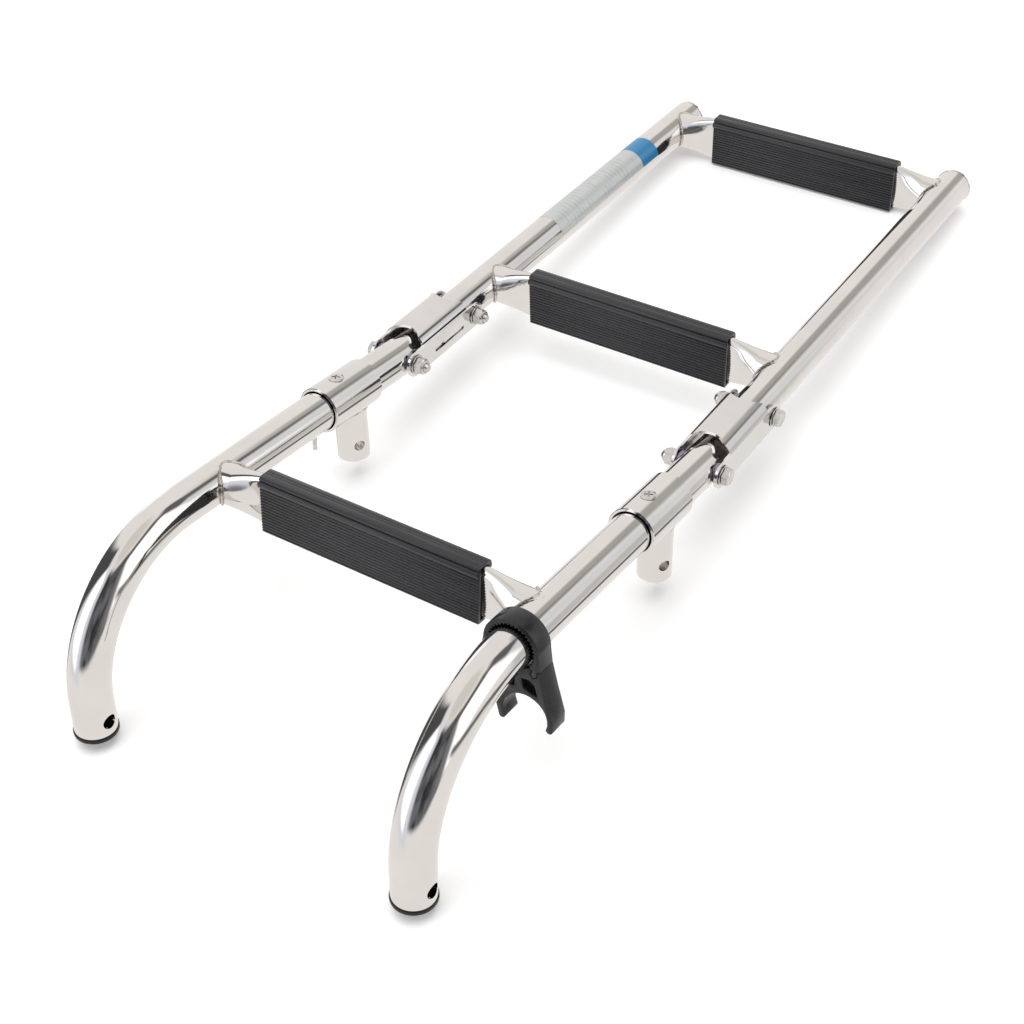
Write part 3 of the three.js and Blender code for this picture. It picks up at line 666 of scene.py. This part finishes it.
def socket_weld():
    """Fine bead where the stub meets the sleeve."""
    rings, bead = [], 0.7
    for k in range(120):
        turn = 2 * math.pi * k / 120
        radius = STUB_R + 0.15
        x, y = radius * math.cos(turn), radius * math.sin(turn)
        z = -math.sqrt(SLEEVE_R ** 2 - x * x) - 0.2
        out = Vector((math.cos(turn), math.sin(turn), 0))
        size = bead * (1 + 0.12 * math.cos(30 * turn))
        rings.append([Vector((x, y, z)) + size * (math.cos(p) * out + math.sin(p) * Vector((0, 0, 1)))
                      for p in (2 * math.pi * j / 10 for j in range(10))])
    return moved(solid(rings, loop=True), at(0, STUB_Y + 1.1))


def screw():
    """Raised countersunk screw with a cross recess."""
    head = turned("z", [
        (0, 8.6), (1.7, 8.6), (SCREW_SHANK_R, 9.4), (SCREW_SHANK_R, 12.9), (SCREW_HEAD_R, 14.75),
        (SCREW_HEAD_R, 14.95), (4.2, 15.25), (3.3, 15.6), (2.0, 15.82), (0, 15.9)], 56)
    arm = [(-2.6, 15.0), (-0.9, 13.4), (0.9, 13.4), (2.6, 15.0), (2.75, 17), (-2.75, 17)]
    turns = (0.5, 0.5 + math.pi / 2)
    return carve(head, *(moved(prism(arm, -0.5, 0.5, "y"), Matrix.Rotation(turn, 4, "Z")) for turn in turns))


def add_sockets():
    for word, side in SIDES.items():
        place = UPPER @ at(side * RAIL_X)
        finish_piece(leg_socket(), f"{word}_leg_socket", "upper_section", STEEL_Z, place,
                     socket_radial)
        bead = finish_piece(socket_weld(), f"{word}_leg_socket", "upper_section", WELD, place,
                            sharp=80)
        bead.name = bead.data.name = f"{word}_leg_socket_bead"
        finish_piece(screw(), f"{word}_socket_screw", "upper_section", FASTENER,
                     place @ at(0, SCREW_Y))
    pin = turned("z", [(0, PIN_FROM), (1.0, PIN_FROM), (1.35, PIN_FROM + 0.15), (PIN_R, PIN_FROM + 0.5),
                       (PIN_R, PIN_TO), (0, PIN_TO)], 32)
    finish_piece(pin, "left_rail_pin", "upper_section", FASTENER,
                 UPPER @ at(-RAIL_X, PIN_Y))


# ---------------------------------------------------------------- hinge links and hardware
def roof_point(turn, inset=0.0):
    """Point of the flattened roof's section in (x, z), `inset` inside its outer face."""
    along = math.copysign(abs(math.cos(turn)) ** (2 / ARCH_POWER), math.cos(turn))
    up = max(0.0, math.sin(turn)) ** (2 / ARCH_POWER)
    return (LINK_HALF - inset) * along, ARCH_BASE + (ARCH_RISE - inset) * up


def link_radial(point):
    """Normal of the roof's section, for points on its outer or inner face."""
    if point.z < CREASE_Z + 0.2:
        return []
    normals = []
    for inset in (0.0, LINK_WALL):
        across = abs(point.x) / (LINK_HALF - inset)
        up = (point.z - ARCH_BASE) / (ARCH_RISE - inset)
        if abs(across ** ARCH_POWER + up ** ARCH_POWER - 1) < 0.02:
            slope = Vector((math.copysign(across ** (ARCH_POWER - 1) / (LINK_HALF - inset), point.x), 0,
                            up ** (ARCH_POWER - 1) / (ARCH_RISE - inset)))
            normals.append(slope.normalized())
    return normals


def link(side):
    """Pressed link: an arched roof with a crease each side, two flat walls and an ear at each pivot."""
    inner = LINK_HALF - LINK_WALL
    low = math.asin(((CREASE_Z + 0.5 - ARCH_BASE) / ARCH_RISE) ** (ARCH_POWER / 2))
    roof = [low + (math.pi - 2 * low) * k / 56 for k in range(57)]
    under = [math.pi * k / 56 for k in range(57)]
    section = [(LINK_HALF, -EAR_R), (LINK_HALF, CREASE_Z - 0.25), (LINK_HALF - 0.12, CREASE_Z)]
    section += [roof_point(t) for t in roof]
    section += [(-x, z) for x, z in reversed(section[:3])]
    section += [(-inner, -EAR_R)]
    section += [roof_point(t, LINK_WALL) for t in reversed(under)]
    section += [(inner, -EAR_R)]
    body = prism(section, ARCH_INSET, LINK_PITCH - ARCH_INSET, "y")
    ear = [(EAR_R * math.sin(t), EAR_R * math.cos(t)) for t in (math.pi * k / 24 for k in range(25))]
    plate = [(LINK_PITCH + y, z) for y, z in ear] + [(-y, -z) for y, z in ear]
    plates = [prism(plate, a, a + LINK_WALL, "x") for a in (-LINK_HALF, inner)]
    join(body, *plates)
    slot_x = sorted((-side * (LINK_HALF + 1), -side * (inner - 1)))
    ends = [(t, SLOT_HALF) for t in (math.pi * k / 12 for k in range(13))]
    slot = [(SLOT_TO - r + r * math.sin(t), SLOT_Z + r * math.cos(t)) for t, r in ends]
    slot += [(SLOT_FROM + r - r * math.sin(t), SLOT_Z - r * math.cos(t)) for t, r in ends]
    tools = [prism(slot, *slot_x, "x")]
    for y in (0, LINK_PITCH):
        tools.append(moved(rod("z", MOUTH_R, 0, 40, 96), at(0, y)))
        tools.append(moved(rod("x", BORE_R, -20, 20), at(0, y)))
    return carve(body, *tools)


def within_walls(face):
    """1 for a face of the link that looks inwards, 0 for any other."""
    across = abs(face.center.x) / (LINK_HALF - LINK_WALL)
    up = max(0.0, face.center.z - ARCH_BASE) / (ARCH_RISE - LINK_WALL)
    out = Vector((face.center.x, 0, max(0.0, face.center.z - ARCH_BASE)))
    return int(across ** ARCH_POWER + up ** ARCH_POWER < 1.04 and out.normalized().dot(face.normal) < -0.7)


def hexagon_head(side, seat, thick, core):
    """Hexagon with chamfered corners, from `seat` outwards along x; `core` is its bore radius or 0."""
    sides, outline = 72, []
    for k in range(sides):
        turn = 2 * math.pi * k / sides
        outline.append((turn, HEX_FLAT / math.cos((turn + math.pi / 6) % (math.pi / 3) - math.pi / 6)))
    face = 0.96 * HEX_FLAT

    def ring(radius_of, height_of):
        return [Vector((side * (seat + height_of(r)), radius_of(r) * math.cos(t), radius_of(r) * math.sin(t)))
                for t, r in outline]
    rings = [
        ring(lambda r: r - 0.15, lambda r: 0), ring(lambda r: r, lambda r: 0.15),
        ring(lambda r: r, lambda r: thick - 0.5 * (r - face) - 0.06), ring(lambda r: face, lambda r: thick),
    ]
    if core:
        bore = [ring(lambda r: core, lambda r: height) for height in (0, thick)]
        return solid([bore[0], *rings, bore[1]], loop=True)
    return solid([ring(lambda r: 0, lambda r: 0), *rings, ring(lambda r: 0, lambda r: thick)])


def bolt(side):
    """Hexagon bolt with its head on the outer side and a threaded tip."""
    shank = [(0, SEAT + 1), (BOLT_R - 0.02, SEAT + 1), (BOLT_R - 0.02, -12)]
    for k in range(13):
        shank += [(BOLT_R - 0.05, -12.2 - k), (BOLT_R - 0.55, -12.7 - k)]
    shank += [(BOLT_R - 0.8, -BOLT_TIP), (0, -BOLT_TIP)]
    stem = turned("x", [(r, side * h) for r, h in shank], 40)
    return join(hexagon_head(side, SEAT, HEAD_THICK, 0), stem)


def nut(side):
    """Locking nut: a hexagon with a round collar that holds a plastic ring."""
    body = hexagon_head(-side, SEAT, NUT_THICK, BOLT_R + 0.15)
    collar = turned("x", [(r, -side * (SEAT + h)) for r, h in [
        (3.25, 4), (4.45, 4), (4.45, 5.9), (4.25, 6.35), (3.8, 6.5), (3.25, 6.45)]], 48)
    return join(body, collar)


def washer(side):
    low, high = LINK_HALF + GAP, LINK_HALF + GAP + WASHER_THICK
    return turned("x", [(r, side * h) for r, h in [
        (BORE_R, low), (WASHER_R - 0.12, low), (WASHER_R, low + 0.12), (WASHER_R, high - 0.12),
        (WASHER_R - 0.12, high), (BORE_R, high)]], 56)


def bush(side):
    """Flanged nylon bush, its flange cut to the round of the rail."""
    flange = turned("x", [(r, side * h) for r, h in [
        (BORE_R, 10.2), (BUSH_FLANGE_R, 10.2), (BUSH_FLANGE_R, BUSH_FACE - 0.25),
        (BUSH_FLANGE_R - 0.25, BUSH_FACE), (BORE_R, BUSH_FACE)]], 56)
    spigot = turned("x", [(r, side * h) for r, h in [
        (BORE_R, TUBE_R - BUSH_DEPTH), (BUSH_R, TUBE_R - BUSH_DEPTH), (BUSH_R, 12), (BORE_R, 12)]], 56)
    return join(carve(flange, rod("y", TUBE_R + 0.1, -20, 20, 80)), spigot)


def add_hinges():
    for word, side in SIDES.items():
        place, body = LINK[word], f"{word}_link"
        shell = link(side)
        inside = [within_walls(face) for face in shell.data.polygons]
        finish_piece(shell, body, body, STEEL_LINK, place, link_radial, sharp=25)
        # inward faces take the inner material, whose lighter colour is painted light that lifts the shade
        # under the roof
        shell.data.materials.append(PAINTED_LIGHT_INSIDE)
        shell.data.polygons.foreach_set("material_index", inside)
        for label, y in (("upper", 0), ("lower", LINK_PITCH)):
            name, here = f"{word}_{label}", place @ at(0, y)
            finish_piece(bolt(side), f"{name}_bolt", body, FASTENER, here, sharp=25)
            finish_piece(nut(side), f"{name}_nut", body, FASTENER, here, sharp=25)
            finish_piece(washer(side), f"{name}_outer_washer", body, FASTENER, here)
            finish_piece(washer(-side), f"{name}_inner_washer", body, FASTENER, here)
            home = UPPER @ at(side * RAIL_X, PIVOT_Y) if label == "upper" else LOWER @ at(side * RAIL_X)
            finish_piece(bush(side), f"{name}_outer_bush", f"{label}_section", BUSH, home)
            finish_piece(bush(-side), f"{name}_inner_bush", f"{label}_section", BUSH, home)


# ---------------------------------------------------------------- clip
# the seam's right half as (x, z) points; the left half mirrors it
SEAM = [(11.2, -8.6), (13.5, -9.6), (12.4, -12.1), (14.3, -14.2), (16.6, -12.7), (16.5, -9.6), (18.4, -9.1)]


def seam(side, offset):
    """The hooked seam between strap and jaw, moved sideways by `offset`."""
    points, out = [Vector(p) for p in SEAM], []
    for i, point in enumerate(points):
        before = (points[max(i, 1)] - points[max(i, 1) - 1]).normalized()
        j = min(i, len(points) - 2)
        after = (points[j + 1] - points[j]).normalized()
        mitre = (before + after).normalized()
        reach = offset / mitre.dot(before)
        out.append((side * (point.x - mitre.y * reach), point.y + mitre.x * reach))
    return out


def arc(x, z, radius, start, end, steps):
    turns = [start + (end - start) * k / steps for k in range(steps + 1)]
    return [(x + radius * math.cos(t), z + radius * math.sin(t)) for t in turns]


def strap():
    """Band over the rail, toothed inside."""
    start = math.atan2(SEAM[0][1], SEAM[0][0])
    sweep = math.pi - 2 * start
    inside = []
    for i in range(RING_TEETH * 2 + 1):
        turn = start + sweep * i / (RING_TEETH * 2)
        for shift in (-0.2, 0.2):
            angle = turn + shift * sweep / (RING_TEETH * 2)
            radius = RING_ROOT if i % 2 else RING_TIP
            inside.append((radius * math.cos(angle), radius * math.sin(angle)))
    outline = [*seam(1, GAP / 2), *arc(0, 0, RING_OUTER, 0, math.pi, 72), *reversed(seam(-1, GAP / 2))]
    outline += list(reversed(inside[2:-2]))
    return prism(outline, CLIP_FRONT, CLIP_FRONT + CLIP_WIDTH, "y")


def jaw():
    """Body under the rail: an open jaw between two claws, and two windows."""
    right, left = seam(1, -GAP / 2), seam(-1, -GAP / 2)
    outline = [right[-1], (21.9, -21.5), (24.7, -30.3), (27.2, -38.1)]
    outline += arc(25.3, -44.6, CLAW_R, 0, -math.pi, 12)
    outline += arc(JAW_X, JAW_Z, JAW_R, -0.1, math.pi + 0.15, 48)
    outline += arc(-3.9, -47.4, CLAW_R, 0.2, -math.pi * 0.8, 12)
    outline += [(-8.6, -38), (-13, -25), *reversed(left)]
    under = math.atan2(left[0][1], left[0][0]) + 0.12
    outline += arc(0, 0, RING_TIP + 0.4, under, -math.pi - under, 36)
    outline += right[:-1]
    windows = [
        [(8.4, -22.9), (13.5, -25), (17.2, -25.4), (15.2, -18.4), (11.6, -16.4), (7.1, -17.2)],
        [(3, -24.3), (3.4, -17), (-2, -16.4), (-7, -18.4), (-7.6, -25)],
    ]
    tools = [prism(w, CLIP_FRONT - 5, CLIP_FRONT + CLIP_WIDTH + 5, "y") for w in windows]
    return carve(prism(outline, CLIP_FRONT, CLIP_FRONT + CLIP_WIDTH, "y"), *tools)


def add_clip():
    ends = (CLIP_FRONT, CLIP_FRONT + CLIP_WIDTH)
    for name, shape, ease in (("clip_strap", strap(), 0.55), ("clip_jaw", jaw(), 0.7)):
        soften_ends(shape, ends, "y", ease)
        finish_piece(shape, name, "clip", CLIP, UPPER @ at(RAIL_X))


# ---------------------------------------------------------------- label
def add_label():
    """Thin film round the upper side of the left lower rail."""
    turns, rings = [math.radians(8 + 160 * k / 40) for k in range(41)], []
    for y in (LABEL_FROM, LABEL_FROM + 0.2, 185, LABEL_TO - 0.2, LABEL_TO):
        edges = ((TUBE_R + LABEL_LIFT, turns), (TUBE_R - LABEL_UNDER, reversed(turns)))
        rings.append([Vector((radius * math.cos(t), y, radius * math.sin(t)))
                      for radius, order in edges for t in order])
    film = solid(rings)
    mesh = film.data
    shade(mesh, 40)
    mesh.transform(LOWER @ at(-RAIL_X))
    film.name = mesh.name = "left_lower_rail_label"
    mesh.materials.append(LABEL)
    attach(film, "lower_section")


add_rails()
add_step("upper", 0, "upper_section", UPPER, 1)
add_step("middle", TREAD_2, "lower_section", LOWER, 5)
add_step("end", TREAD_3, "lower_section", LOWER, 9)
add_sockets()
add_hinges()
add_clip()
add_label()


# ---------------------------------------------------------------- floor, light and camera
def add_floor():
    """Pale paper floor, which the steel doesn't mirror."""
    bm = bmesh.new()
    bmesh.ops.create_grid(bm, x_segments=8, y_segments=8, size=6)
    mesh = bpy.data.meshes.new("floor")
    bm.to_mesh(mesh)
    bm.free()
    floor = bpy.data.objects.new("floor", mesh)
    bpy.context.scene.collection.objects.link(floor)
    look = Look("floor_paper", Roughness=0.9, Specular_IOR_Level=0.1)
    mottle = look.spread(look.noise(3.0, 2.0), 0.0, 1.0)
    look.set(Base_Color=blend(look.tree, mottle, (0.93, 0.93, 0.93), (0.945, 0.945, 0.945)))
    look.set(Emission_Color=(1.0, 1.0, 1.0), Emission_Strength=0.14)
    mesh.materials.append(look.material)
    floor.visible_glossy = False


def add_studio():
    """Studio seen in the steel: pale walls, two soft boxes and the dark gaps between them."""
    world = bpy.context.scene.world or bpy.data.worlds.new("studio")
    bpy.context.scene.world = world
    world.use_nodes = True
    tree = world.node_tree
    tree.nodes.clear()
    coordinates = tree.nodes.new("ShaderNodeTexCoord")
    apart = tree.nodes.new("ShaderNodeSeparateXYZ")
    tree.links.new(coordinates.outputs["Generated"], apart.inputs[0])
    x, y, z = (Value(tree, socket) for socket in apart.outputs)
    degrees = 180 / math.pi
    azimuth = (y.math("ARCTAN2", x) * degrees).math("WRAP", 280.0, -80.0)
    height = z.math("ARCSINE") * degrees

    blotches = tree.nodes.new("ShaderNodeTexNoise")
    tree.links.new(coordinates.outputs["Generated"], blotches.inputs["Vector"])
    blotches.inputs["Scale"].default_value = 3.2
    blotches.inputs["Detail"].default_value = 3.0
    clutter = Value(tree, blotches.outputs["Fac"]).step(0.38, 0.66)
    # a colour and a mask each, later ones on top; masks are in degrees: from, to, half-width of the edge
    layers = [
        # ceiling
        ((0.76, 0.745, 0.69), height.step(66.0, 76.0)),
        # dark room behind the camera
        (blend(tree, clutter, (0.035, 0.035, 0.038), (0.17, 0.175, 0.19)),
         azimuth.within(-108.0, -18.0, 6.0).either(azimuth.within(252.0, 290.0, 7.0))
         * height.within(-1.0, 66.0, 4.0)),
        # lighter side of the room next to the right-hand soft box
        ((0.22, 0.22, 0.23), azimuth.within(-32.0, -14.0, 8.0) * height.within(3.0, 56.0, 5.0)),
        # dark band over the right-hand soft box, with a grey and a dark patch beside it
        ((0.12, 0.12, 0.12), azimuth.within(-62.0, 46.0, 10.0) * height.within(53.0, 64.0, 4.0)),
        ((0.46, 0.45, 0.43), azimuth.within(64.0, 92.0, 6.0) * height.within(19.0, 40.0, 4.0)),
        ((0.14, 0.14, 0.14), azimuth.within(38.0, 71.0, 5.0) * height.within(30.0, 60.0, 5.0)),
        # right-hand soft box, bluish towards its far edge
        ((0.78, 0.80, 0.83), azimuth.within(40.0, 58.0, 6.0) * height.within(2.0, 30.0, 6.0)),
        ((1.5, 1.5, 1.5), azimuth.within(-16.0, 42.0, 6.0) * height.within(4.0, 52.0, 3.0)),
        # slanted dark line below it
        ((0.16, 0.155, 0.15),
         (height + azimuth * 0.95 - 2.0).within(-4.0, 4.0, 3.0) * azimuth.within(-12.0, 38.0, 4.0)),
        # grey patch and dark line below the bluish patch
        ((0.62, 0.61, 0.60), azimuth.within(34.0, 50.0, 3.0) * height.within(-24.0, 0.0, 6.0)),
        ((0.10, 0.10, 0.10), azimuth.within(32.0, 52.0, 3.0) * height.within(-35.0, -27.0, 3.0)),
        # bluish halo, left-hand soft box and the dark strip beside it
        ((0.80, 0.84, 0.92), azimuth.within(196.0, 262.0, 8.0) * height.within(-14.0, 60.0, 6.0)),
        ((1.6, 1.6, 1.6), azimuth.within(206.0, 244.0, 5.0) * height.within(-6.0, 54.0, 4.0)),
        ((0.08, 0.08, 0.085),
         (azimuth - height * 0.42 - 180.0).within(-13.0, 13.0, 4.0) * height.within(-36.0, 56.0, 4.0)),
        # narrow bright streak
        ((1.25, 1.25, 1.25), azimuth.within(143.0, 157.0, 3.0) * height.within(-32.0, 15.0, 6.0)),
    ]
    walls = tree.nodes.new("ShaderNodeRGB").outputs[0]
    walls.default_value = (0.94, 0.914, 0.896, 1)
    colour = Value(tree, walls)
    for tone, mask in layers:
        colour = blend(tree, mask, colour, tone)
    seen = tree.nodes.new("ShaderNodeLightPath")
    shown = blend(tree, Value(tree, seen.outputs["Is Camera Ray"]), colour, (0.97, 0.97, 0.97))
    background = tree.nodes.new("ShaderNodeBackground")
    output = tree.nodes.new("ShaderNodeOutputWorld")
    feed(tree, background.inputs["Color"], shown)
    tree.links.new(background.outputs[0], output.inputs["Surface"])


def add_light(name, place, size, power):
    """Round soft light that faces the middle of the ladder and isn't seen in the steel."""
    data = bpy.data.lights.new(name, "AREA")
    data.shape, data.size, data.energy = "DISK", size, power
    lamp = bpy.data.objects.new(name, data)
    lamp.location = place
    lamp.rotation_mode = "QUATERNION"
    lamp.rotation_quaternion = (-Vector(place)).to_track_quat("-Z", "Y")
    lamp.visible_glossy = False
    bpy.context.scene.collection.objects.link(lamp)


def add_camera():
    """Camera of the photograph, fitted in the upper section's frame: angles in radians, place in mm."""
    turn, rise, roll = 0.5582340816, 0.6088425659, 0.0343924797
    back = Vector((math.sin(turn) * math.cos(rise), -math.cos(turn) * math.cos(rise), math.sin(rise)))
    right = Vector((0, 0, 1)).cross(back).normalized()
    up = back.cross(right)
    across = math.cos(roll) * right + math.sin(roll) * up
    upward = -math.sin(roll) * right + math.cos(roll) * up
    to_world = Matrix.Rotation(-pitch, 3, "X")
    axes = Matrix([to_world @ across, to_world @ upward, to_world @ back]).transposed()
    data = bpy.data.cameras.new("camera")
    data.sensor_width, data.lens, data.clip_start, data.clip_end = 36, 60.352, 0.01, 50
    camera = bpy.data.objects.new("camera", data)
    bpy.context.scene.collection.objects.link(camera)
    camera.matrix_world = Matrix.Translation(UPPER @ Vector((469.56, -601.63, 557.78))) @ axes.to_4x4()
    bpy.context.scene.camera = camera


add_floor()
add_studio()
add_light("overhead", (0.1, -0.2, 2.2), 2.4, 34)
add_camera()
bpy.context.scene.view_settings.view_transform = "Standard"
